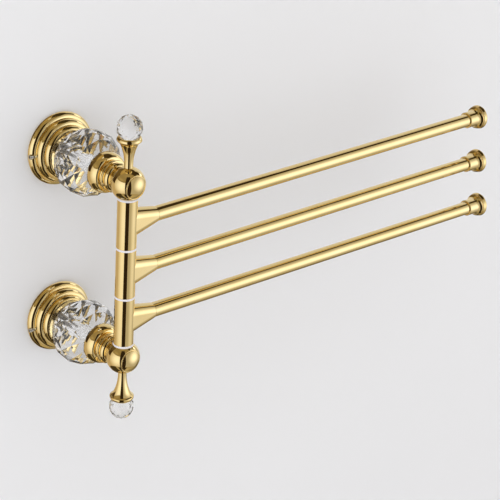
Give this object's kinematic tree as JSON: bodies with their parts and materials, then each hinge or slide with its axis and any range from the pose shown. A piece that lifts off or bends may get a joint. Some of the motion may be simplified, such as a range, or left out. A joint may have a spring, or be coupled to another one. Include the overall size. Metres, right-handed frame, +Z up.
{
  "type": "swing arm towel rack",
  "caption": "Wall-mounted swing arm towel rack: straight round arms with flared end caps turn on an upright spindle between crystal-bulb supports that stand on beaded wall rosettes.",
  "frame": {"origin": "on the wall plane, at the centre of the four wall screws, midway between the two rosettes", "axes": "+X to the right along the wall, where the arms point at rest; -Y out of the wall towards the room; +Z up along the spindle"},
  "size_m": [0.4495, 0.1045, 0.2582],
  "materials": {
    "gold": "polished, gold plated",
    "crystal": "clear, cut in flat facets",
    "washer": "moulded, satin",
    "bush": "moulded, satin",
    "gasket": "soft, translucent white",
    "plate_steel": "zinc plated",
    "spindle_steel": "ground",
    "screw_steel": "bright stainless steel"
  },
  "bodies": {
    "wall_frame": {"upper_wall_plate": "plate_steel", "upper_rosette": "gold", "upper_grub_screw": "screw_steel", "upper_tie_rod": "plate_steel", "upper_tie_nut": "plate_steel", "upper_back_gasket": "gasket", "upper_crystal_bulb": "crystal", "upper_front_gasket": "gasket", "upper_collar": "gold", "upper_ball": "gold", "upper_finial_stem": "gold", "upper_finial_crystal": "crystal", "lower_wall_plate": "plate_steel", "lower_rosette": "gold", "lower_grub_screw": "screw_steel", "lower_tie_rod": "plate_steel", "lower_tie_nut": "plate_steel", "lower_back_gasket": "gasket", "lower_crystal_bulb": "crystal", "lower_front_gasket": "gasket", "lower_collar": "gold", "lower_ball": "gold", "lower_finial_stem": "gold", "lower_finial_crystal": "crystal", "spindle": "spindle_steel", "pivot_washer_1": "washer", "pivot_washer_2": "washer", "pivot_washer_3": "washer", "pivot_washer_4": "washer"},
    "arm_1": {"arm_1_hub": "gold", "arm_1_lower_bush": "bush", "arm_1_upper_bush": "bush", "arm_1_tube": "gold", "arm_1_end_cap": "gold"},
    "arm_2": {"arm_2_hub": "gold", "arm_2_lower_bush": "bush", "arm_2_upper_bush": "bush", "arm_2_tube": "gold", "arm_2_end_cap": "gold"},
    "arm_3": {"arm_3_hub": "gold", "arm_3_lower_bush": "bush", "arm_3_upper_bush": "bush", "arm_3_tube": "gold", "arm_3_end_cap": "gold"}
  },
  "joints": [
    {"name": "arm_1_swing", "type": "hinge", "parent": "wall_frame", "child": "arm_1", "pos_m": [0, -0.08965, 0], "axis": [0, 0, -1], "range_deg": [-6.8, 189.2]},
    {"name": "arm_2_swing", "type": "hinge", "parent": "wall_frame", "child": "arm_2", "pos_m": [0, -0.08965, 0], "axis": [0, 0, -1], "range_deg": [-7.5, 188.5]},
    {"name": "arm_3_swing", "type": "hinge", "parent": "wall_frame", "child": "arm_3", "pos_m": [0, -0.08965, 0], "axis": [0, 0, -1], "range_deg": [-8.5, 187.5]}
  ]
}
